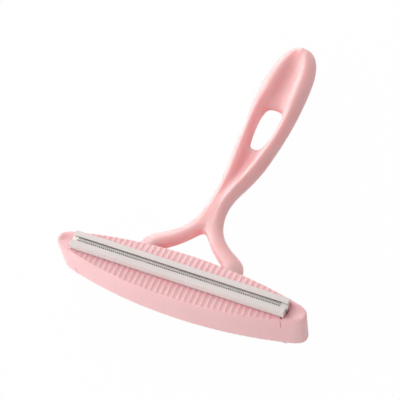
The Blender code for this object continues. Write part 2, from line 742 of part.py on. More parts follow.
def tenon(hand):
    """The tongue of a foot: it goes through the shell's wall and round the screw boss."""
    middle = hand * FOOT_MIDDLE
    half = TENON_HALF_WIDTH
    root = half_width(FOOT_MIDDLE) + TENON_ROOT
    flat = math.sqrt(EYE_RADIUS**2 - half**2)
    # The outline goes up one side of the tongue and round the eye.
    start = math.atan2(flat, half)
    points = [(half, root)]
    turns = 14
    for i in range(turns + 1):
        angle = start - (math.pi + 2 * start) * i / turns
        points.append((EYE_RADIUS * math.cos(angle), EYE_RADIUS * math.sin(angle)))
    points.append((-half, root))
    rings = [[(middle + x, y, z) for x, y in points] for z in (TENON_LOW, TENON_HIGH)]
    body = mesh_object(f"tenon_{hand}", rings)
    hole = BOSS_RADIUS + GAP
    levels = [(TENON_LOW - BITE, hole), (TENON_HIGH + BITE, hole)]
    return body, mesh_object(f"eye_{hand}", round_rings(middle, 0.0, levels))


def make_handle(name, look):
    bm = bmesh.new()
    handle_cage(bm)
    handle = finish_object(name, bm, look)
    handle.data.set_sharp_from_angle(angle=math.pi)
    smooth = handle.modifiers.new("smooth skin", "SUBSURF")
    smooth.levels = 1
    smooth.render_levels = 1
    # Cut the feet to the head's wall, a gap away from it.
    reach = BAR_TOP + BITE
    rings = [ring_at(-GAP, z, 1, follow_face=False) for z in (-reach, reach)]
    cut(handle, mesh_object("foot_trim", rings))
    for hand in (-1, 1):
        body, hole = tenon(hand)
        boolean(handle, body, "UNION")
        cut(handle, hole)
    return handle


for old in list(bpy.data.objects):
    bpy.data.objects.remove(old, do_unlink=True)

tool = bpy.data.objects.new("tool", None)
bpy.context.scene.collection.objects.link(tool)

pink = material("pink plastic", PINK, 0.42)
pink_head = material("pink head plastic", PINK, 0.45)
white = material("white plastic", WHITE, 0.5)
steel = material("toothed steel", STEEL, 0.3, 1.0)
screw_steel = material("screw steel", STEEL, 0.35, 1.0)

make_handle("handle", pink)
make_shell("front_shell", 1, pink_head)
make_shell("rear_shell", -1, pink_head)
make_bar("front_bar", 1, white)
make_bar("rear_bar", -1, white)
make_strip("front_toothed_strip", 1, steel)
make_strip("rear_toothed_strip", -1, steel)
for number, place in enumerate(SCREW_PLACES, start=1):
    make_screw(f"screw_{number}", place, screw_steel)

# The origin goes to the middle of the box's underside, so the tool lies on the ground plane.
bpy.context.view_layer.update()
graph = bpy.context.evaluated_depsgraph_get()
corners = []
for made in bpy.context.scene.objects:
    if made.type == "MESH" and not made.hide_render:
        evaluated = made.evaluated_get(graph)
        mesh = evaluated.to_mesh()
        places = np.empty(len(mesh.vertices) * 3, np.float32)
        mesh.vertices.foreach_get("co", places)
        corners.append(places.reshape(-1, 3))
        evaluated.to_mesh_clear()
corners = np.concatenate(corners).astype(float)
lowest = corners.min(axis=0)
highest = corners.max(axis=0)
tool.location = (-(lowest[0] + highest[0]) / 2, -(lowest[1] + highest[1]) / 2, -lowest[2])
bpy.context.view_layer.update()
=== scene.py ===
"""Looks of a double-sided lint remover: pink moulded handle and head, white bars, toothed strips.

Shapes are made in millimetres on the head's own axes: X along the head, Y towards the handle and
Z out of the front face, from the plane where the two shells meet. in_frame puts them in the frame.
"""

import math

import bmesh
import bpy
import numpy as np
from mathutils import Matrix, Vector


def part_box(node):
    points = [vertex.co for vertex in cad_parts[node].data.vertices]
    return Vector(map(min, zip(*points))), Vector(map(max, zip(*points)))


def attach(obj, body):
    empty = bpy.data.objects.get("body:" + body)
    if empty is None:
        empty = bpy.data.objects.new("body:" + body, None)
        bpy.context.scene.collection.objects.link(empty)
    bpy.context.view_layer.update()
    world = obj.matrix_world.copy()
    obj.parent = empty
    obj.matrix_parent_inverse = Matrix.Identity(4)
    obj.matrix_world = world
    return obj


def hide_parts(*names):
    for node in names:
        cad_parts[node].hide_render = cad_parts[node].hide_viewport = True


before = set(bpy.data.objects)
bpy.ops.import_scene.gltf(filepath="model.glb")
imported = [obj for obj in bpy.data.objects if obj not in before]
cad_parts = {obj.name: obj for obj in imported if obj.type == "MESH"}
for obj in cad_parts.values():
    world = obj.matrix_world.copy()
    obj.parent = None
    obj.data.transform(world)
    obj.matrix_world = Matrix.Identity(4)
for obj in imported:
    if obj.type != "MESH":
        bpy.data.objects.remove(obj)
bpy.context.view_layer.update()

# The head's middle in the frame, from the two shells
front_low, front_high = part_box("front_shell")
rear_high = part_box("rear_shell")[1]
HEAD_MIDDLE = Vector((
    (front_low.x + front_high.x) / 2,
    (front_low.y + front_high.y) / 2,
    (front_low.z + rear_high.z) / 2,
))

# Sizes are in millimetres and the frame is in metres. Points nearer than SAME_POINT are one point,
# and a point nearer to a line than TINY counts as on it.
MM = 0.001
SAME_POINT = 1e-4
TINY = 0.01

# Head outline
HEAD_HALF_LENGTH = 76.3
HEAD_HALF_WIDTH = 15.0
HEAD_END_HALF_WIDTH = 4.3
END_ROUND_FROM = 69.0
END_SQUARENESS = 2.8
SAG = HEAD_HALF_WIDTH - HEAD_END_HALF_WIDTH
SIDE_RADIUS = (HEAD_HALF_LENGTH**2 + SAG**2) / (2 * SAG)
OUTLINE_SIDE_STEPS = 150
OUTLINE_END_STEPS = 200
SLOPE_STEP = 1e-3

# Head face
FACE_AT_BAR = 11.5
RIM_HEIGHT = 10.4
RIM_ROUND = 0.9
PARTING_GAP = 0.02
SLOT_HALF_LENGTH = 65.8
SLOT_HALF_WIDTH = 5.25
TAB_RECESS_LENGTH = 66.45
TAB_RECESS_HALF_WIDTH = 1.7
TRAY_FLOOR = 7.0
INSIDE_TOP = 5.0
SHELL_WALL = 2.0

# Grid of the face. Along the head: lines beside a groove's middle, lines round the notch and one
# before them, a line over the tab's recess, and lines to the tip. Across it: shares of the slot's
# half-width, and lines from there to the rim, which turns over in steps given in degrees.
GROOVE_LINES = (0.0, 0.45, 0.85, 1.15, 1.35)
NOTCH_LINES = 12
NOTCH_LINE_STEP = 0.15
NOTCH_LINES_REACH = 0.9
BEFORE_NOTCH_SHARE = 0.45
TAB_RECESS_LINE = 66.1
TIP_LINES = 30
SLOT_LINES = (0.5, 0.66, 0.83, 1.0)
SIDE_LINES = 26
RIM_DEGREES = (18, 36, 54, 72, 90)

# Grooves across the face
GROOVE_PITCH = 3.405
GROOVE_HALF_WIDTH = 1.5
GROOVE_DEPTH = 0.27
GROOVE_RIM = 0.4
GROOVES_EACH_WAY = 18

# Dished ends, and the notch and slit beside one end of the bar
DISH_RIM = 1.5
DISH_DEPTH = 1.0
DISH_SLOPE = 5.0
DISH_BLEND = 1.2
NOTCH_PLACE = Vector((64.5, -5.5))
NOTCH_RADIUS = 0.55
NOTCH_DEPTH = 1.5
NOTCH_BLEND = 0.24
SLIT_DEPTH = 0.35
SLIT_HALF_WIDTH = 0.13
SLIT_BOTTOM = 4.8
SLIT_RAMP = 0.2
SLIT_OVER_RIM = 0.3

# Bars
BAR_HALF_LENGTH = 65.5
BAR_HALF_WIDTH = 4.95
BAR_TOP = 15.9
BAR_BOTTOM = 7.3
BAR_ROUND = 1.3
BAR_ROUND_STEPS = 5
STRIP_GROOVE_HALF_WIDTH = 1.5
STRIP_CLEARANCE = 0.3
GROOVE_BEND_DEGREES = (0, 15, 30, 45, 60, 75)
LUG_REACH = 67.05
LUG_LENGTH = 2.0
LUG_HALF_WIDTH = 2.2
LUG_HEIGHT = 1.4

# Toothed strips
STRIP_FLOOR = 15.05
STRIP_HALF_WIDTH = 1.35
STRIP_THICKNESS = 0.35
STRIP_FOLD = 0.18
STRIP_EDGE_FOOT = 0.5
STRIP_EDGE_TOP = 0.18
TOOTH_PITCH = 1.285
TOOTH_COUNT = 97
TOOTH_HEIGHT = 1.15
TOOTH_ROOT_HEIGHT = 0.3
TOOTH_LEAN = 0.38
# Points along a tooth: place as a share of the pitch, and height as a share of the rise
TOOTH_POINTS = ((-0.5, 0.0), (-0.28, 0.0), (-0.2, 1.0), (0.2, 1.0), (0.28, 0.0))
PLAIN_EDGE_HEIGHT = 0.15
PLAIN_EDGE_LENGTH = 0.5
TAB_OUTER = 66.15
TAB_BOTTOM = 9.2
TAB_BEND_RADIUS = 1.6
TAB_BEND_DEGREES = range(0, 91, 10)

# Handle
STEM_START = 41.5
HOLE_BOTTOM = 107.0
HOLE_TOP = 138.2
HANDLE_TIP = 187.5
GRIP_HALF_WIDTH = 16.0
GRIP_HALF_THICKNESS = 6.7
HANDLE_SWING = 6.1
CROTCH = 34.4
FOOT_MIDDLE = 27.0
FOOT_LEVEL = 4.7
FOOT_HALF_THICKNESS = 4.1
FOOT_GAP = 0.08
FOOT_TOP = 25.0
CAGE_SMOOTHING = 3
TENON_INSET = 0.7
TENON_LOW = 0.5
TENON_HIGH = 4.4
EYE_RADIUS = 5.4
EYE_HOLE_RADIUS = 3.6
EYE_STEPS = 32

# Stations of the handle in three stretches: place along it, half-width, middle level, rim and
# middle-line thickness as shares of the sizes above, crest and inner line across it, and the
# inner line's rise towards the crest.
STEM = (
    (0.0, 0.55, 0.98, 0.52, 0.58, 0.59, 0.25, 0.2),
    (0.115, 0.438, 1.0, 0.615, 0.73, 0.56, 0.23, 0.2),
    (0.252, 0.394, 0.85, 0.72, 0.79, 0.556, 0.24, 0.2),
    (0.405, 0.438, 0.44, 0.81, 0.72, 0.586, 0.243, 0.3),
    (0.588, 0.58, -0.1, 0.91, 0.5, 0.6, 0.26, 0.42),
    (0.756, 0.694, -0.41, 0.96, 0.32, 0.64, 0.3, 0.48),
    (0.893, 0.77, -0.475, 0.98, 0.25, 0.68, 0.34, 0.4),
)
HOLE = (
    (0.0, 0.8, -0.51, 1.0, 0.209, 0.72, 0.29, 0.2),
    (0.256, 0.85, -0.525, 1.0, 0.209, 0.728, 0.404, 0.2),
    (0.513, 0.9, -0.475, 1.0, 0.209, 0.722, 0.4375, 0.2),
    (0.769, 0.944, -0.345, 1.0, 0.209, 0.7, 0.444, 0.2),
    (1.0, 0.981, -0.18, 1.0, 0.209, 0.662, 0.36, 0.2),
)
GRIP_END = (
    (0.158, 1.0, -0.016, 1.0, 0.24, 0.59, 0.25, 0.08),
    (0.361, 0.994, 0.13, 1.0, 0.27, 0.57, 0.23, 0.08),
    (0.564, 0.95, 0.246, 0.97, 0.35, 0.55, 0.22, 0.12),
    (0.716, 0.875, 0.39, 0.91, 0.6, 0.54, 0.22, 0.25),
    (0.838, 0.744, 0.557, 0.78, 0.86, 0.52, 0.23, 0.4),
    (0.935, 0.555, 0.705, 0.56, 0.74, 0.5, 0.23, 0.4),
    (1.0, 0.3, 0.78, 0.26, 0.44, 0.5, 0.23, 0.4),
)
# Stations of an arm: its outer and its inner point, each as shares of the foot's distance and of
# the crotch's height, and its level and thickness as shares of the foot's
ARM = (
    ((0.452, 1.035), (0.122, 0.959), 1.255, 0.9),
    ((0.615, 0.901), (0.304, 0.779), 1.19, 0.927),
    ((0.815, 0.791), (0.504, 0.637), 1.106, 0.95),
    ((1.044, 0.703), (0.689, 0.541), 1.043, 0.976),
    ((1.2, 0.57), (0.793, 0.453), 1.0, 1.0),
    ((1.226, 0.349), (0.807, 0.32), 1.0, 1.0),
    ((1.226, 0.145), (0.793, 0.145), 1.0, 1.0),
)
# The arm's cage: its outer edge, crest and inner edge between the inner point, 0, and the outer
# one, 1, and how much thicker it is than the smoothed arm. The crotch's point in the cage.
ARM_OUTER_PLACE = 1.14
ARM_CREST_PLACE = 0.58
ARM_INNER_PLACE = -0.1
ARM_CAGE_THICKNESS = 1.25
CROTCH_PLACE = 0.988

# Plastic: clouds in its colour and a moulded skin, each with its cells a metre. The skin has a
# height in metres, and makes the roughness vary about its own value.
CLOUD_CELLS = 60.0
CLOUD_DETAIL = 3.0
CLOUD_RANGE = (0.35, 0.65)
SKIN_CELLS = 2600.0
SKIN_HEIGHT = 0.00002
SKIN_STRENGTH = 0.25
SKIN_ROUGHNESS = (-0.04, 0.06)

# Steel: drawing lines with their cells a metre, drawn out along X, and their height in metres.
# The upper part of a strip's toothed edges is painted dark, a painted shade that grows from one
# height over the strip's floor to the other.
LINE_CELLS = 1500.0
LINE_STRETCH = (0.04, 1.0, 1.0)
LINE_RANGE = (0.3, 0.7)
LINE_HEIGHT = 0.00001
LINE_STRENGTH = 0.3
STEEL_ROUGHNESS = (0.36, 0.5)
TOOTH_SHADE_FROM = 0.6
TOOTH_SHADE_FULL = 0.7

# Floor and world
FLOOR_HALF_SIZE = 4.0
FLOOR_PAINT = (0.86, 0.86, 0.86, 1.0)
FLOOR_SEEN_WHITE = 0.98
WHITE = (1.0, 1.0, 1.0, 1.0)
WORLD_COLOUR = (1.0, 0.985, 0.98, 1.0)
WORLD_STRENGTH_LEFT = 0.8
WORLD_STRENGTH_RIGHT = 0.38

# Lamps: place in metres and power
LAMP_SIZE = 0.8
LAMPS = {
    "low light": ((-1.15, -0.2, 0.2), 9.4),
    "back light": ((-0.65, 0.9, 0.55), 6.4),
    "front light": ((-0.5, -1.1, 0.5), 3.4),
}

# Camera, fitted to the photo: sensor and focal length in millimetres, its turn as an axis times an
# angle, and its place and limits in metres, the place from the head's middle
CAMERA_SENSOR = 36.0
CAMERA_LENS = 103.018
CAMERA_TURN = Vector((2.46334060, 0.490978137, -0.329270058))
CAMERA_PLACE = Vector((0.2157, -0.28575, 0.5335))
CAMERA_NEAR = 0.01
CAMERA_FAR = 20.0


def half_width(x):
    """Half the head's width at x."""
    side = math.sqrt(SIDE_RADIUS**2 - x * x) - (SIDE_RADIUS - HEAD_HALF_WIDTH)
    past = max(0.0, (abs(x) - END_ROUND_FROM) / (HEAD_HALF_LENGTH - END_ROUND_FROM))
    return side * max(0.0, 1 - past**END_SQUARENESS) ** (1 / END_SQUARENESS)


def face_height(y):
    """The crowned face falls off from the bar to the rim."""
    fall = (FACE_AT_BAR - RIM_HEIGHT) / (HEAD_HALF_WIDTH**2 - BAR_HALF_WIDTH**2)
    return FACE_AT_BAR - fall * (y * y - BAR_HALF_WIDTH**2)


def smooth(share):
    """A share from 0 to 1 with soft ends."""
    share = min(1.0, max(0.0, share))
    return share * share * (3 - 2 * share)


# Mesh helpers


def new_edges(made, fresh):
    """Of the geometry that an extrusion made, the edges that join two new points."""
    return [
        g for g in made
        if isinstance(g, bmesh.types.BMEdge) and g.verts[0] in fresh and g.verts[1] in fresh
    ]


def grow(bm, edges, where):
    """Extrudes a row of edges, and puts each new point where the function says."""
    made = bmesh.ops.extrude_edge_only(bm, edges=edges)["geom"]
    fresh = {g for g in made if isinstance(g, bmesh.types.BMVert)}
    for vert in fresh:
        vert.co = where(vert)
    return new_edges(made, fresh)


def in_frame(bm):
    """From millimetres on the head's own axes to the frame."""
    bm.transform(Matrix.Translation(HEAD_MIDDLE) @ Matrix.Scale(MM, 4))


def piece(name, bm, look, replaced, sharp_degrees=35):
    """Finishes a mesh as a piece of the object that stands for its CAD node."""
    in_frame(bm)
    bmesh.ops.recalc_face_normals(bm, faces=bm.faces[:])
    mesh = bpy.data.meshes.new(name)
    bm.to_mesh(mesh)
    bm.free()
    mesh.shade_smooth()
    mesh.set_sharp_from_angle(angle=math.radians(sharp_degrees))
    mesh.materials.append(look)
    made = bpy.data.objects.new(name, mesh)
    bpy.context.scene.collection.objects.link(made)
    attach(made, "root")
    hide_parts(replaced)
    return made


# Head shells


def outline_samples():
    """Close points of the outline for x >= 0, each with its outward direction."""
    stations = [END_ROUND_FROM * i / OUTLINE_SIDE_STEPS for i in range(OUTLINE_SIDE_STEPS)]
    for i in range(OUTLINE_END_STEPS + 1):
        share = math.sin(0.5 * math.pi * i / OUTLINE_END_STEPS)
        stations.append(END_ROUND_FROM + (HEAD_HALF_LENGTH - END_ROUND_FROM) * share)
    samples = []
    step = SLOPE_STEP
    for x in stations:
        if x >= HEAD_HALF_LENGTH - step:
            samples.append((HEAD_HALF_LENGTH, 0.0, 1.0, 0.0))
            break
        slope = (half_width(x + step) - half_width(abs(x - step))) / (2 * step) if x > 0 else 0.0
        length = math.hypot(1.0, slope)
        samples.append((x, half_width(x), -slope / length, 1 / length))
    return np.array(samples)


OUTLINE = outline_samples()
SET_BACK = OUTLINE[:, :2] - RIM_ROUND * OUTLINE[:, 2:]


def columns():
    """Places of the face's grid lines along the head, closest at the edges of the grooves."""
    across = (*GROOVE_LINES, GROOVE_HALF_WIDTH)
    right = [0.0]
    for i in range(GROOVES_EACH_WAY):
        centre = GROOVE_PITCH * (i + 0.5)
        right += [centre - a for a in reversed(across[1:])] + [centre + a for a in across]
        right.append(centre + GROOVE_PITCH / 2)
    around_notch = NOTCH_PLACE.x - NOTCH_LINES_REACH
    right.append(right[-1] + BEFORE_NOTCH_SHARE * (around_notch - right[-1]))
    right += [around_notch + NOTCH_LINE_STEP * i for i in range(NOTCH_LINES)]
    right += [SLOT_HALF_LENGTH, TAB_RECESS_LINE, TAB_RECESS_LENGTH]
    reach = HEAD_HALF_LENGTH - RIM_ROUND - TAB_RECESS_LENGTH
    for i in range(1, TIP_LINES + 1):
        right.append(TAB_RECESS_LENGTH + reach * math.sin(0.5 * math.pi * i / TIP_LINES))
    right = sorted(right)
    return [-x for x in reversed(right) if x > 0] + right


def row_shares():
    """Grid lines across the head: up to 1 they lie inside the slot's edge, from 1 to 2 outside."""
    tab = TAB_RECESS_HALF_WIDTH / SLOT_HALF_WIDTH
    inner = [0.0, tab / 2, tab, *SLOT_LINES]
    outer = [1 + i / SIDE_LINES for i in range(1, SIDE_LINES + 1)]
    half = inner + outer
    return [-r for r in reversed(half) if r > 0] + half


def grid_place(x, row):
    """Where a grid line across the head lies at x."""
    edge = float(np.interp(abs(x), SET_BACK[:, 0], SET_BACK[:, 1]))
    at_slot_end = float(np.interp(SLOT_HALF_LENGTH, SET_BACK[:, 0], SET_BACK[:, 1]))
    slot = SLOT_HALF_WIDTH
    if abs(x) > SLOT_HALF_LENGTH:
        slot = SLOT_HALF_WIDTH * edge / at_slot_end
    share = abs(row)
    y = slot * share if share <= 1 else slot + (edge - slot) * (share - 1)
    return math.copysign(y, row)


def groove_depth(x, y):
    """Depth of the shallow scoop at a point of the face."""
    centre = GROOVE_PITCH * (math.floor(x / GROOVE_PITCH) + 0.5)
    if abs(centre) > GROOVE_PITCH * GROOVES_EACH_WAY:
        return 0.0
    end = half_width(centre) - GROOVE_RIM
    off = math.hypot(x - centre, max(0.0, abs(y) - (end - GROOVE_HALF_WIDTH)))
    return GROOVE_DEPTH * max(0.0, 1 - (off / GROOVE_HALF_WIDTH) ** 2)


def dish_depth(x, y):
    """Depth of the scooped end, by how far the point lies from the outline."""
    start = smooth((abs(x) - (BAR_HALF_LENGTH - DISH_BLEND / 2)) / DISH_BLEND)
    if start == 0.0:
        return 0.0
    inside = np.hypot(OUTLINE[:, 0] - abs(x), OUTLINE[:, 1] - abs(y)).min()
    share = min(1.0, max(0.0, (inside - DISH_RIM) / DISH_SLOPE))
    return start * DISH_DEPTH * math.sin(0.5 * math.pi * smooth(share))


def notch_depth(x, y):
    """Depth of the round notch beside the bar's end."""
    off = (Vector((x, y)) - NOTCH_PLACE).length
    return NOTCH_DEPTH * smooth((NOTCH_RADIUS + NOTCH_BLEND / 2 - off) / NOTCH_BLEND)


def face_level(x, y):
    """Height of the finished face."""
    return face_height(y) - groove_depth(x, y) - dish_depth(x, y) - notch_depth(x, y)


def make_face(bm):
    """The crowned face with its grooves, dished ends and notch, as a fine grid."""
    xs = columns()
    rows = row_shares()
    bmesh.ops.create_grid(bm, x_segments=len(xs) - 1, y_segments=len(rows) - 1, size=1.0)
    for vert in bm.verts:
        x = xs[round((vert.co.x + 1) / 2 * (len(xs) - 1))]
        y = grid_place(x, rows[round((vert.co.y + 1) / 2 * (len(rows) - 1))])
        vert.co = (x, y, face_level(x, y))
    bmesh.ops.remove_doubles(bm, verts=bm.verts[:], dist=SAME_POINT)


def cut_slot(bm):
    """The tray for the bar, with a recess for the strip's tab at each end. Returns the rim."""
    slot = (SLOT_HALF_LENGTH, SLOT_HALF_WIDTH)
    recess = (TAB_RECESS_LENGTH, TAB_RECESS_HALF_WIDTH)
    for reach, wide in (slot, recess):
        inside = []
        for face in bm.faces:
            middle = face.calc_center_median()
            if abs(middle.x) < reach and abs(middle.y) < wide:
                inside.append(face)
        bmesh.ops.delete(bm, geom=inside, context="FACES")

    def at_slot(vert):
        along = abs(vert.co.x) < TAB_RECESS_LENGTH + TINY
        return along and abs(vert.co.y) < SLOT_HALF_WIDTH + TINY

    border = [edge for edge in bm.edges if edge.is_boundary]
    slot_edges = [edge for edge in border if all(at_slot(v) for v in edge.verts)]
    rim_edges = [edge for edge in border if edge not in slot_edges]
    low = grow(bm, slot_edges, lambda v: Vector((v.co.x, v.co.y, TRAY_FLOOR)))
    bmesh.ops.edgeloop_fill(bm, edges=low)
    return rim_edges


def make_wall(bm, edges):
    """The rim turns over into the wall, which ends at the parting gap and closes inside."""
    out = bm.verts.layers.float_vector.new("outward")
    for vert in {v for e in edges for v in e.verts}:
        nx = float(np.interp(abs(vert.co.x), SET_BACK[:, 0], OUTLINE[:, 2]))
        ny = math.sqrt(max(0.0, 1 - nx * nx))
        sideways = 0.0 if abs(vert.co.y) < SAME_POINT else math.copysign(ny, vert.co.y)
        vert[out] = Vector((math.copysign(nx, vert.co.x), sideways, 0.0))
    turned = 0.0
    for degrees in RIM_DEGREES:
        angle = math.radians(degrees)
        outwards = RIM_ROUND * (math.sin(angle) - math.sin(turned))
        down = RIM_ROUND * (math.cos(turned) - math.cos(angle))
        edges = grow(bm, edges, lambda v: v.co + v[out] * outwards - Vector((0, 0, down)))
        turned = angle
    for level in (SLIT_BOTTOM + SLIT_RAMP, SLIT_BOTTOM, PARTING_GAP / 2):
        edges = grow(bm, edges, lambda v: Vector((v.co.x, v.co.y, level)))
    edges = grow(bm, edges, lambda v: v.co - v[out] * SHELL_WALL)
    edges = grow(bm, edges, lambda v: Vector((v.co.x, v.co.y, INSIDE_TOP)))
    bmesh.ops.edgeloop_fill(bm, edges=edges)


def cut_slit(bm):
    """The slit down the wall beside the notch."""
    for vert in bm.verts:
        beside = abs(vert.co.x - NOTCH_PLACE.x) < SLIT_HALF_WIDTH
        above = vert.co.z > SLIT_BOTTOM + SLIT_RAMP / 2
        if beside and above and vert.co.y < SLIT_OVER_RIM - half_width(vert.co.x):
            vert.co.y += SLIT_DEPTH


def make_shell(name, side, look, node):
    """Half of the head. The rear one is the front one turned over."""
    bm = bmesh.new()
    make_face(bm)
    rim_edges = cut_slot(bm)
    make_wall(bm, rim_edges)
    cut_slit(bm)
    if side < 0:
        bmesh.ops.scale(bm, vec=(-1.0, 1.0, -1.0), verts=bm.verts[:])
    return piece(name, bm, look, node)


# White bars and steel strips


def rounding(x, end, radius):
    """How far a face with a rounded end has dropped at x."""
    past = min(radius, max(0.0, abs(x) - (end - radius)))
    return radius - math.sqrt(radius**2 - past**2)


def make_bar(name, side, look, node):
    """A holder bar: a long block with rounded shoulders and ends, and a groove for the strip."""
    bm = bmesh.new()
    groove_floor = STRIP_FLOOR - STRIP_THICKNESS - STRIP_CLEARANCE
    half = [
        (BAR_HALF_WIDTH, BAR_BOTTOM),
        (BAR_HALF_WIDTH, BAR_TOP),
        (STRIP_GROOVE_HALF_WIDTH, BAR_TOP),
        (STRIP_GROOVE_HALF_WIDTH, groove_floor),
    ]
    section = half + [(-y, z) for y, z in reversed(half)]
    end_face = bm.faces.new([bm.verts.new((-BAR_HALF_LENGTH, y, z)) for y, z in section])
    made = bmesh.ops.extrude_face_region(bm, geom=[end_face])["geom"]
    far = [g for g in made if isinstance(g, bmesh.types.BMVert)]
    bmesh.ops.translate(bm, vec=(2 * BAR_HALF_LENGTH, 0, 0), verts=far)
    # The groove's floor drops away at each end, where the strip bends down
    bend = TAB_BEND_RADIUS - STRIP_THICKNESS - STRIP_CLEARANCE
    for hand in (-1, 1):
        for degrees in GROOVE_BEND_DEGREES:
            x = hand * (BAR_HALF_LENGTH - bend * (1 - math.sin(math.radians(degrees))))
            parts = bm.verts[:] + bm.edges[:] + bm.faces[:]
            bmesh.ops.bisect_plane(bm, geom=parts, plane_co=(x, 0, 0), plane_no=(1, 0, 0))
    for vert in bm.verts:
        inside = abs(vert.co.y) < STRIP_GROOVE_HALF_WIDTH + TINY
        if inside and abs(vert.co.z - groove_floor) < SAME_POINT:
            vert.co.z -= rounding(vert.co.x, BAR_HALF_LENGTH, bend)
    rounded = []
    for edge in bm.edges:
        a, b = (v.co for v in edge.verts)
        outer = min(abs(a.y), abs(b.y)) > BAR_HALF_WIDTH - TINY
        at_top = min(a.z, b.z) > BAR_TOP - TINY
        at_end = min(abs(a.x), abs(b.x)) > BAR_HALF_LENGTH - TINY and a.x * b.x > 0
        if (outer and (at_top or at_end)) or (at_top and at_end):
            rounded.append(edge)
    bmesh.ops.bevel(
        bm, geom=rounded, offset=BAR_ROUND, offset_type="OFFSET", segments=BAR_ROUND_STEPS,
        profile=0.5, affect="EDGES", material=-1, clamp_overlap=True,
    )
    # Snap lugs, hidden in their recesses
    for hand in (-1, 1):
        cube = bmesh.ops.create_cube(bm, size=1.0)["verts"]
        bmesh.ops.scale(bm, vec=(LUG_LENGTH, 2 * LUG_HALF_WIDTH, LUG_HEIGHT), verts=cube)
        middle = (hand * (LUG_REACH - LUG_LENGTH / 2), 0, BAR_BOTTOM + LUG_HEIGHT / 2)
        bmesh.ops.translate(bm, vec=middle, verts=cube)
    if side < 0:
        bmesh.ops.scale(bm, vec=(1.0, 1.0, -1.0), verts=bm.verts[:])
    return piece(name, bm, look, node, sharp_degrees=40)


def strip_stations():
    """Places along half the strip: x, z, direction of the path and height of the toothed edge."""
    right = []
    for i in range(TOOTH_COUNT // 2 + 1):
        centre = i * TOOTH_PITCH
        for part, height in TOOTH_POINTS:
            x = centre + part * TOOTH_PITCH
            rise = TOOTH_ROOT_HEIGHT + (TOOTH_HEIGHT - TOOTH_ROOT_HEIGHT) * height
            right.append((x, STRIP_FLOOR, 0.0, rise))
    right = [s for s in right if s[0] >= 0]
    right.append((right[-1][0] + PLAIN_EDGE_LENGTH, STRIP_FLOOR, 0.0, PLAIN_EDGE_HEIGHT))
    for degrees in TAB_BEND_DEGREES:
        angle = math.radians(degrees)
        x = TAB_OUTER - TAB_BEND_RADIUS * (1 - math.sin(angle))
        z = STRIP_FLOOR - TAB_BEND_RADIUS * (1 - math.cos(angle))
        right.append((x, z, -angle, PLAIN_EDGE_HEIGHT))
    right.append((TAB_OUTER, TAB_BOTTOM, -math.pi / 2, PLAIN_EDGE_HEIGHT))
    left = [(-x, z, -angle, height) for x, z, angle, height in reversed(right)]
    return left + right


def strip_section(height):
    """Half of the strip's section as (y, height above its floor): a folded edge on a thin sheet."""
    tip = STRIP_HALF_WIDTH - TOOTH_LEAN * height
    return [
        (STRIP_HALF_WIDTH - STRIP_FOLD, -STRIP_THICKNESS),
        (STRIP_HALF_WIDTH, STRIP_FOLD - STRIP_THICKNESS),
        (tip, height),
        (tip - STRIP_EDGE_TOP, height),
        (STRIP_HALF_WIDTH - STRIP_EDGE_FOOT, 0.0),
    ]


def make_strip(name, side, look, node):
    """A steel strip: a shallow channel with a row of small teeth along both edges."""
    bm = bmesh.new()
    number = bm.verts.layers.int.new("number")

    def points(station):
        x, z, angle, height = station
        half = strip_section(height)
        ring = half + [(-y, h) for y, h in reversed(half)]
        return [Vector((x - math.sin(angle) * h, y, z + math.cos(angle) * h)) for y, h in ring]

    stations = strip_stations()
    first = [bm.verts.new(point) for point in points(stations[0])]
    for i, vert in enumerate(first):
        vert[number] = i
    count = len(first)
    edges = [bm.edges.new((first[i], first[(i + 1) % count])) for i in range(count)]
    bm.faces.new(first)
    for station in stations[1:]:
        ring = points(station)
        edges = grow(bm, edges, lambda v: ring[v[number]])
    bmesh.ops.edgeloop_fill(bm, edges=edges)
    if side < 0:
        bmesh.ops.scale(bm, vec=(1.0, 1.0, -1.0), verts=bm.verts[:])
    return piece(name, bm, look, node, sharp_degrees=25)


# Handle


def handle_stations():
    """All stations from the stem to the tip, with their places in millimetres."""
    stretches = (
        (STEM, STEM_START, HOLE_BOTTOM),
        (HOLE, HOLE_BOTTOM, HOLE_TOP),
        (GRIP_END, HOLE_TOP, HANDLE_TIP),
    )
    made = []
    for stations, low, high in stretches:
        for place, *shares in stations:
            made.append((low + (high - low) * place, *shares))
    return made


def grip_ring(station):
    """Twelve points round the handle: outer edge, crest, inner line and middle, both faces."""
    y, width, rise, rim, middle_line, crest_place, inner_place, inner_rise = station
    half = GRIP_HALF_WIDTH * width
    middle = HANDLE_SWING * rise
    thick = GRIP_HALF_THICKNESS * rim
    web = GRIP_HALF_THICKNESS * middle_line
    crest = half * crest_place
    inner = half * inner_place
    # A smoothed ring passes inside its corners by a sixth of each neighbour's distance.
    edge = 1.5 * half - 0.5 * crest
    deep = web + inner_rise * (thick - web)
    top = 1.5 * thick - 0.25 * deep
    low = 1.5 * web - 0.5 * deep
    front = [(-edge, 0), (-crest, top), (-inner, deep), (0, low), (inner, deep), (crest, top)]
    back = [(edge, 0), (crest, -top), (inner, -deep), (0, -low), (-inner, -deep), (-crest, -top)]
    return [Vector((x, y, middle + z)) for x, z in front + back]


def arm_ring(station, hand):
    """Five points round an arm: outer edge, crest and inner edge in front, then behind."""
    outer, inner, level, thick = station
    out_x, out_y = outer[0] * FOOT_MIDDLE, outer[1] * CROTCH
    in_x, in_y = inner[0] * FOOT_MIDDLE, inner[1] * CROTCH
    middle = level * FOOT_LEVEL
    top = ARM_CAGE_THICKNESS * thick * FOOT_HALF_THICKNESS

    def corner(share, z):
        return Vector((hand * (in_x + share * (out_x - in_x)), in_y + share * (out_y - in_y), z))

    return [
        corner(ARM_OUTER_PLACE, middle),
        corner(ARM_CREST_PLACE, middle + top),
        corner(ARM_INNER_PLACE, middle + top),
        corner(ARM_INNER_PLACE, middle - top),
        corner(ARM_CREST_PLACE, middle - top),
    ]


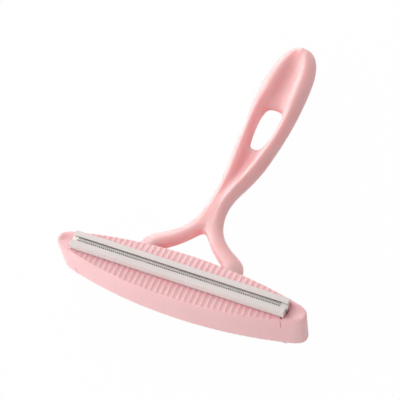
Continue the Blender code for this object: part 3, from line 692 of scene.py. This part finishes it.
def handle_cage():
    """The coarse cage of the handle, grown ring by ring from the stem."""
    bm = bmesh.new()
    number = bm.verts.layers.int.new("number")
    rings = [grip_ring(station) for station in handle_stations()]
    stem = bmesh.ops.create_circle(bm, segments=12, radius=1.0)["verts"]
    for i, vert in enumerate(stem):
        vert.co = rings[0][i]
        vert[number] = i
    rows = [stem]
    first_edges = list(dict.fromkeys(e for v in stem for e in v.link_edges))
    edges = first_edges
    for ring in rings[1:]:
        edges = grow(bm, edges, lambda v: ring[v[number]])
        row = sorted({v for e in edges for v in e.verts}, key=lambda v: v[number])
        rows.append(row)
    tip = rows[-1]
    bm.faces.new([tip[i] for i in (0, 1, 11)])
    for i in range(1, 5):
        bm.faces.new([tip[i], tip[i + 1], tip[11 - i], tip[12 - i]])
    bm.faces.new([tip[i] for i in (5, 6, 7)])
    # The finger hole goes through the four middle strips of faces
    low = len(STEM)
    high = low + len(HOLE) - 1
    through = []
    for first, second in zip(rows[low:high], rows[low + 1 : high + 1]):
        for i in (2, 3, 8, 9):
            corners = {first[i], first[i + 1], second[i], second[i + 1]}
            through += [f for f in first[i].link_faces if set(f.verts) == corners]
    bmesh.ops.delete(bm, geom=through, context="FACES")
    border = [e for e in bm.edges if e.is_boundary]
    around_hole = [e for e in border if min(v.co.y for v in e.verts) > STEM_START + TINY]
    bmesh.ops.bridge_loops(bm, edges=around_hole)
    # The fork: the stem's lower end opens into two arms with the crotch between them
    left = [arm_ring(station, -1) for station in ARM]
    right = [arm_ring(station, 1) for station in ARM]
    y = CROTCH * CROTCH_PLACE
    middle = ARM[0][2] * FOOT_LEVEL
    thick = ARM[0][3] * FOOT_HALF_THICKNESS
    front = Vector((0.0, y, middle + thick))
    behind = Vector((0.0, y, middle - thick))
    a, b = left[0], right[0]
    lower = [a[0], a[1], a[2], front, b[2], b[1], b[0], b[4], b[3], behind, a[3], a[4]]
    edges = grow(bm, first_edges, lambda v: lower[v[number]])
    row = sorted({v for e in edges for v in e.verts}, key=lambda v: v[number])
    bm.faces.new([row[i] for i in (2, 3, 9, 10)])
    bm.faces.new([row[i] for i in (3, 4, 8, 9)])
    for arm, corners in ((left, (0, 1, 2, 10, 11)), (right, (6, 5, 4, 8, 7))):
        verts = [row[i] for i in corners]
        for i, vert in enumerate(verts):
            vert[number] = i
        face = bm.faces.new(verts)
        for ring in arm[1:]:
            made = bmesh.ops.extrude_face_region(bm, geom=[face])["geom"]
            for vert in (g for g in made if isinstance(g, bmesh.types.BMVert)):
                vert.co = ring[vert[number]]
            bmesh.ops.delete(bm, geom=[face], context="FACES_ONLY")
            face = next(g for g in made if isinstance(g, bmesh.types.BMFace))
    bmesh.ops.recalc_face_normals(bm, faces=bm.faces[:])
    return bm


def smoothed(bm, levels):
    """The mesh as a Subdivision Surface modifier draws it."""
    mesh = bpy.data.meshes.new("cage")
    bm.to_mesh(mesh)
    bm.free()
    holder = bpy.data.objects.new("cage", mesh)
    bpy.context.scene.collection.objects.link(holder)
    skin = holder.modifiers.new("skin", "SUBSURF")
    skin.levels = levels
    skin.render_levels = levels
    graph = bpy.context.evaluated_depsgraph_get()
    fine = bpy.data.meshes.new_from_object(holder.evaluated_get(graph))
    made = bmesh.new()
    made.from_mesh(fine)
    bpy.data.objects.remove(holder)
    bpy.data.meshes.remove(mesh)
    bpy.data.meshes.remove(fine)
    return made


def make_handle(name, look, node):
    """The smoothed handle. Each foot ends flat against the head's wall, with a tenon."""
    bm = smoothed(handle_cage(), CAGE_SMOOTHING)
    for hand in (-1, 1):
        x = hand * FOOT_MIDDLE
        slope = -x / math.sqrt(SIDE_RADIUS**2 - x * x)
        normal = Vector((slope, -1.0, 0.0)).normalized()
        point = Vector((x, half_width(x), 0.0)) - normal * FOOT_GAP
        foot = []
        for face in bm.faces:
            middle = face.calc_center_median()
            if middle.x * hand > 0 and middle.y < FOOT_TOP:
                foot.append(face)
        verts = dict.fromkeys(v for f in foot for v in f.verts)
        edges = dict.fromkeys(e for f in foot for e in f.edges)
        parts = [*verts, *edges, *foot]
        bmesh.ops.bisect_plane(bm, geom=parts, plane_co=point, plane_no=normal, clear_outer=True)
    border = [edge for edge in bm.edges if edge.is_boundary]
    for face in bmesh.ops.holes_fill(bm, edges=border, sides=0)["faces"]:
        add_tenon(bm, face)
    return piece(name, bm, look, node)


def add_tenon(bm, foot):
    """The tongue that grows out of a foot's end face, and its eye, hidden inside the head."""
    middle = math.copysign(FOOT_MIDDLE, foot.calc_center_median().x)
    ring = (EYE_RADIUS + EYE_HOLE_RADIUS) / 2
    half = (EYE_RADIUS - EYE_HOLE_RADIUS) / 2
    bmesh.ops.inset_region(bm, faces=[foot], thickness=TENON_INSET, use_even_offset=True)
    made = bmesh.ops.extrude_face_region(bm, geom=[foot])["geom"]
    bmesh.ops.delete(bm, geom=[foot], context="FACES_ONLY")
    for vert in (g for g in made if isinstance(g, bmesh.types.BMVert)):
        vert.co.y = ring
    verts = []
    for across, z in ((-1, TENON_LOW), (1, TENON_LOW), (1, TENON_HIGH), (-1, TENON_HIGH)):
        verts.append(bm.verts.new((middle + ring + across * half, 0.0, z)))
    edges = [bm.edges.new((verts[i - 1], verts[i])) for i in range(4)]
    bmesh.ops.spin(
        bm, geom=verts + edges, cent=(middle, 0, 0), axis=(0, 0, 1), angle=2 * math.pi,
        steps=EYE_STEPS, use_merge=True,
    )


# Materials


def linear(red, green, blue):
    """A colour as written in pictures, 0 to 255, as the linear values that shaders take."""
    values = []
    for v in (red, green, blue):
        v = v / 255
        values.append(v / 12.92 if v <= 0.04045 else ((v + 0.055) / 1.055) ** 2.4)
    return (*values, 1.0)


def start_material(name):
    """A material with its tree, its shader and the Object coordinates."""
    made = bpy.data.materials.new(name)
    made.use_nodes = True
    tree = made.node_tree
    shader = tree.nodes["Principled BSDF"]
    place = tree.nodes.new("ShaderNodeTexCoord")
    return made, tree, shader, place.outputs["Object"]


def noise(tree, place, cells, detail=2.0, stretch=None):
    """Noise at so many cells a metre, drawn out along an axis if stretch says so."""
    made = tree.nodes.new("ShaderNodeTexNoise")
    made.inputs["Scale"].default_value = cells
    made.inputs["Detail"].default_value = detail
    if stretch:
        mapping = tree.nodes.new("ShaderNodeMapping")
        mapping.inputs["Scale"].default_value = stretch
        tree.links.new(place, mapping.inputs["Vector"])
        place = mapping.outputs["Vector"]
    tree.links.new(place, made.inputs["Vector"])
    return made.outputs["Fac"]


def ramp(tree, value, low, high, first, second):
    """A value turned into a colour between two others."""
    made = tree.nodes.new("ShaderNodeValToRGB")
    made.color_ramp.elements[0].position = low
    made.color_ramp.elements[0].color = first
    made.color_ramp.elements[1].position = high
    made.color_ramp.elements[1].color = second
    tree.links.new(value, made.inputs["Fac"])
    return made.outputs["Color"]


def spread(tree, value, low, high):
    """A value spread over a range, for roughness."""
    made = tree.nodes.new("ShaderNodeMapRange")
    made.inputs["To Min"].default_value = low
    made.inputs["To Max"].default_value = high
    tree.links.new(value, made.inputs["Value"])
    return made.outputs["Result"]


def smooth_share(tree, value, start, full):
    """0 to 1, softly, as a value goes from start to full."""
    made = tree.nodes.new("ShaderNodeMapRange")
    made.interpolation_type = "SMOOTHSTEP"
    made.inputs["From Min"].default_value = start
    made.inputs["From Max"].default_value = full
    tree.links.new(value, made.inputs["Value"])
    return made.outputs["Result"]


def blend(tree, share, colour, other):
    """A colour from one node that turns into a fixed one as the share grows."""
    made = tree.nodes.new("ShaderNodeMix")
    made.data_type = "RGBA"
    inputs = {socket.identifier: socket for socket in made.inputs}
    outputs = {socket.identifier: socket for socket in made.outputs}
    inputs["B_Color"].default_value = other
    tree.links.new(share, inputs["Factor_Float"])
    tree.links.new(colour, inputs["A_Color"])
    return outputs["Result_Color"]


def bump(tree, shader, height, distance, strength):
    """A fine relief on the surface."""
    made = tree.nodes.new("ShaderNodeBump")
    made.inputs["Distance"].default_value = distance
    made.inputs["Strength"].default_value = strength
    tree.links.new(height, made.inputs["Height"])
    tree.links.new(made.outputs["Normal"], shader.inputs["Normal"])


def painted_hollow_shade(tree, reach, openness, alone):
    """Painted shade: 1 in a hollow and 0 in the open, by what stands within so many millimetres.

    That is the piece alone, or all the pieces. The openness is the share of open ways out at
    which the result is 1, and the one at which it is 0.
    """
    near = tree.nodes.new("ShaderNodeAmbientOcclusion")
    near.only_local = alone
    near.samples = 8
    near.inputs["Distance"].default_value = reach * MM
    return smooth_share(tree, near.outputs["AO"], openness[1], openness[0])


def moulded_plastic(name, pale, deep, rough, gloss, glow, radius, painted_shade=None, painted_shade_colour=None):
    """Satin plastic: a faint cloudiness in the colour, a fine moulded skin and some depth.

    The light that goes in spreads over a radius in millimetres for red, green and blue.
    Where a painted shade is given, its colour is painted into the hollows, standing in for the
    shade that falls there.
    """
    made, tree, shader, place = start_material(name)
    clouds = noise(tree, place, CLOUD_CELLS, detail=CLOUD_DETAIL)
    colour = ramp(tree, clouds, *CLOUD_RANGE, deep, pale)
    # Painted shade: in hollows the colour turns to a darker one, standing in for the shade that
    # falls there
    if painted_shade:
        colour = blend(tree, painted_hollow_shade(tree, **painted_shade), colour, painted_shade_colour)
    tree.links.new(colour, shader.inputs["Base Color"])
    skin = noise(tree, place, SKIN_CELLS)
    low, high = SKIN_ROUGHNESS
    tree.links.new(spread(tree, skin, rough + low, rough + high), shader.inputs["Roughness"])
    bump(tree, shader, skin, SKIN_HEIGHT, SKIN_STRENGTH)
    shader.inputs["Subsurface Weight"].default_value = glow
    shader.inputs["Subsurface Radius"].default_value = radius
    shader.inputs["Subsurface Scale"].default_value = MM
    shader.inputs["Specular IOR Level"].default_value = gloss
    return made


def past_middle(tree, place, start, full):
    """0 to 1 from one height over or under the parting plane to another, in millimetres."""
    parts = tree.nodes.new("ShaderNodeSeparateXYZ")
    tree.links.new(place, parts.inputs["Vector"])
    shift = tree.nodes.new("ShaderNodeMath")
    shift.operation = "SUBTRACT"
    shift.inputs[1].default_value = HEAD_MIDDLE.z
    tree.links.new(parts.outputs["Z"], shift.inputs[0])
    off = tree.nodes.new("ShaderNodeMath")
    off.operation = "ABSOLUTE"
    tree.links.new(shift.outputs["Value"], off.inputs[0])
    return smooth_share(tree, off.outputs["Value"], start * MM, full * MM)


def stamped_steel(name, light, dark, tooth_shade=None):
    """Bare sheet steel with fine drawing lines, and a painted shade on the upper part of its
    toothed edges.
    """
    made, tree, shader, place = start_material(name)
    lines = noise(tree, place, LINE_CELLS, stretch=LINE_STRETCH)
    colour = ramp(tree, lines, *LINE_RANGE, dark, light)
    # Painted shade: the teeth are painted dark from a height over the strip's floor up, standing in
    # for the shade in the rows of teeth
    if tooth_shade:
        tooth_shade_share = past_middle(tree, place, STRIP_FLOOR + TOOTH_SHADE_FROM, STRIP_FLOOR + TOOTH_SHADE_FULL)
        colour = blend(tree, tooth_shade_share, colour, tooth_shade)
    tree.links.new(colour, shader.inputs["Base Color"])
    tree.links.new(spread(tree, lines, *STEEL_ROUGHNESS), shader.inputs["Roughness"])
    bump(tree, shader, lines, LINE_HEIGHT, LINE_STRENGTH)
    shader.inputs["Metallic"].default_value = 1.0
    return made


pink_handle = moulded_plastic(
    "pink handle", pale=linear(253, 203, 203), deep=linear(251, 199, 199),
    rough=0.46, gloss=0.75, glow=0.95, radius=(8.0, 1.2, 1.0),
    # Painted shade in the handle's trough and round its finger hole
    painted_shade={"reach": 14.0, "openness": (0.58, 0.88), "alone": True},
    painted_shade_colour=linear(226, 134, 142),
)
pink_head = moulded_plastic(
    "pink head", pale=linear(253, 203, 205), deep=linear(251, 199, 201),
    rough=0.45, gloss=0.42, glow=0.35, radius=(1.4, 0.8, 0.7),
    # Painted shade in the head's dishes and grooves, and a painted shadow along the foot of the
    # bar, read from all the pieces
    painted_shade={"reach": 4.5, "openness": (0.45, 0.95), "alone": False},
    painted_shade_colour=linear(228, 152, 166),
)
white_bar = moulded_plastic(
    "white bar", pale=linear(232, 223, 220), deep=linear(229, 220, 217),
    rough=0.5, gloss=0.42, glow=0.1, radius=(0.8, 0.7, 0.6),
)
# The strips' teeth carry a painted shade
tooth_steel = stamped_steel(
    "toothed steel", light=linear(216, 211, 206), dark=linear(198, 193, 188),
    tooth_shade=linear(84, 79, 75),
)
screw_zinc = stamped_steel("screw zinc", light=linear(206, 204, 200), dark=linear(180, 178, 174))

make_handle("handle_body", pink_handle, "handle")
make_shell("head_front", 1, pink_head, "front_shell")
make_shell("head_rear", -1, pink_head, "rear_shell")
make_bar("bar_front", 1, white_bar, "front_bar")
make_bar("bar_rear", -1, white_bar, "rear_bar")
make_strip("strip_front", 1, tooth_steel, "front_toothed_strip")
make_strip("strip_rear", -1, tooth_steel, "rear_toothed_strip")
for i in range(1, 5):
    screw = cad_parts[f"screw_{i}"]
    screw.data.materials.clear()
    screw.data.materials.append(screw_zinc)


# Floor, light and camera


def seen_rays(tree):
    """1 for rays that show a surface directly, in a mirror or through glass, and 0 for lighting."""
    path = tree.nodes.new("ShaderNodeLightPath")
    total = path.outputs["Is Camera Ray"]
    for name in ("Is Glossy Ray", "Is Transmission Ray"):
        add = tree.nodes.new("ShaderNodeMath")
        add.operation = "ADD"
        add.use_clamp = True
        tree.links.new(total, add.inputs[0])
        tree.links.new(path.outputs[name], add.inputs[1])
        total = add.outputs["Value"]
    return total


def make_floor():
    """A plain white floor that goes on to the horizon. Its shadow shows only faintly."""
    bm = bmesh.new()
    bmesh.ops.create_grid(bm, x_segments=1, y_segments=1, size=FLOOR_HALF_SIZE)
    mesh = bpy.data.meshes.new("floor")
    bm.to_mesh(mesh)
    bm.free()
    floor = bpy.data.objects.new("floor", mesh)
    bpy.context.scene.collection.objects.link(floor)
    made = bpy.data.materials.new("floor white")
    made.use_nodes = True
    tree = made.node_tree
    tree.nodes.clear()
    output = tree.nodes.new("ShaderNodeOutputMaterial")
    paint = tree.nodes.new("ShaderNodeBsdfDiffuse")
    paint.inputs["Color"].default_value = FLOOR_PAINT
    light = tree.nodes.new("ShaderNodeEmission")
    light.inputs["Color"].default_value = WHITE
    share = tree.nodes.new("ShaderNodeMath")
    share.operation = "MULTIPLY"
    share.inputs[1].default_value = FLOOR_SEEN_WHITE
    tree.links.new(seen_rays(tree), share.inputs[0])
    mix = tree.nodes.new("ShaderNodeMixShader")
    tree.links.new(share.outputs["Value"], mix.inputs["Fac"])
    tree.links.new(paint.outputs["BSDF"], mix.inputs[1])
    tree.links.new(light.outputs["Emission"], mix.inputs[2])
    tree.links.new(mix.outputs["Shader"], output.inputs["Surface"])
    mesh.materials.append(made)


def make_world():
    """White where it is seen. As a light it is stronger from the left than from the right."""
    world = bpy.data.worlds.new("studio")
    bpy.context.scene.world = world
    world.use_nodes = True
    tree = world.node_tree
    background = tree.nodes["Background"]
    background.inputs["Color"].default_value = WORLD_COLOUR
    direction = tree.nodes.new("ShaderNodeTexCoord")
    parts = tree.nodes.new("ShaderNodeSeparateXYZ")
    tree.links.new(direction.outputs["Generated"], parts.inputs["Vector"])
    fall = tree.nodes.new("ShaderNodeMapRange")
    fall.inputs["From Min"].default_value = -1.0
    fall.inputs["From Max"].default_value = 1.0
    fall.inputs["To Min"].default_value = WORLD_STRENGTH_LEFT
    fall.inputs["To Max"].default_value = WORLD_STRENGTH_RIGHT
    tree.links.new(parts.outputs["X"], fall.inputs["Value"])
    tree.links.new(fall.outputs["Result"], background.inputs["Strength"])
    seen = tree.nodes.new("ShaderNodeBackground")
    seen.inputs["Color"].default_value = WHITE
    mix = tree.nodes.new("ShaderNodeMixShader")
    output = tree.nodes["World Output"]
    tree.links.new(seen_rays(tree), mix.inputs["Fac"])
    tree.links.new(background.outputs["Background"], mix.inputs[1])
    tree.links.new(seen.outputs["Background"], mix.inputs[2])
    tree.links.new(mix.outputs["Shader"], output.inputs["Surface"])


def softbox(name, place, energy):
    """A square soft light that looks at the middle of the object."""
    data = bpy.data.lights.new(name, "AREA")
    data.shape = "SQUARE"
    data.size = LAMP_SIZE
    data.energy = energy
    made = bpy.data.objects.new(name, data)
    bpy.context.scene.collection.objects.link(made)
    made.location = place
    made.rotation_euler = (-Vector(place)).to_track_quat("-Z", "Y").to_euler()


def make_camera():
    """The camera at the photograph's viewing angle."""
    data = bpy.data.cameras.new("camera")
    data.sensor_width = CAMERA_SENSOR
    data.lens = CAMERA_LENS
    data.clip_start = CAMERA_NEAR
    data.clip_end = CAMERA_FAR
    made = bpy.data.objects.new("camera", data)
    bpy.context.scene.collection.objects.link(made)
    view = Matrix.Rotation(CAMERA_TURN.length, 3, CAMERA_TURN.normalized())
    axes = (Vector(view[0]), -Vector(view[1]), -Vector(view[2]))
    place = HEAD_MIDDLE + CAMERA_PLACE
    matrix = Matrix.Identity(4)
    for column, axis in enumerate((*axes, place)):
        for row in range(3):
            matrix[row][column] = axis[row]
    made.matrix_world = matrix
    bpy.context.scene.camera = made


make_floor()
make_world()
for name, (place, power) in LAMPS.items():
    softbox(name, place, power)
make_camera()
bpy.context.scene.view_settings.view_transform = "Standard"
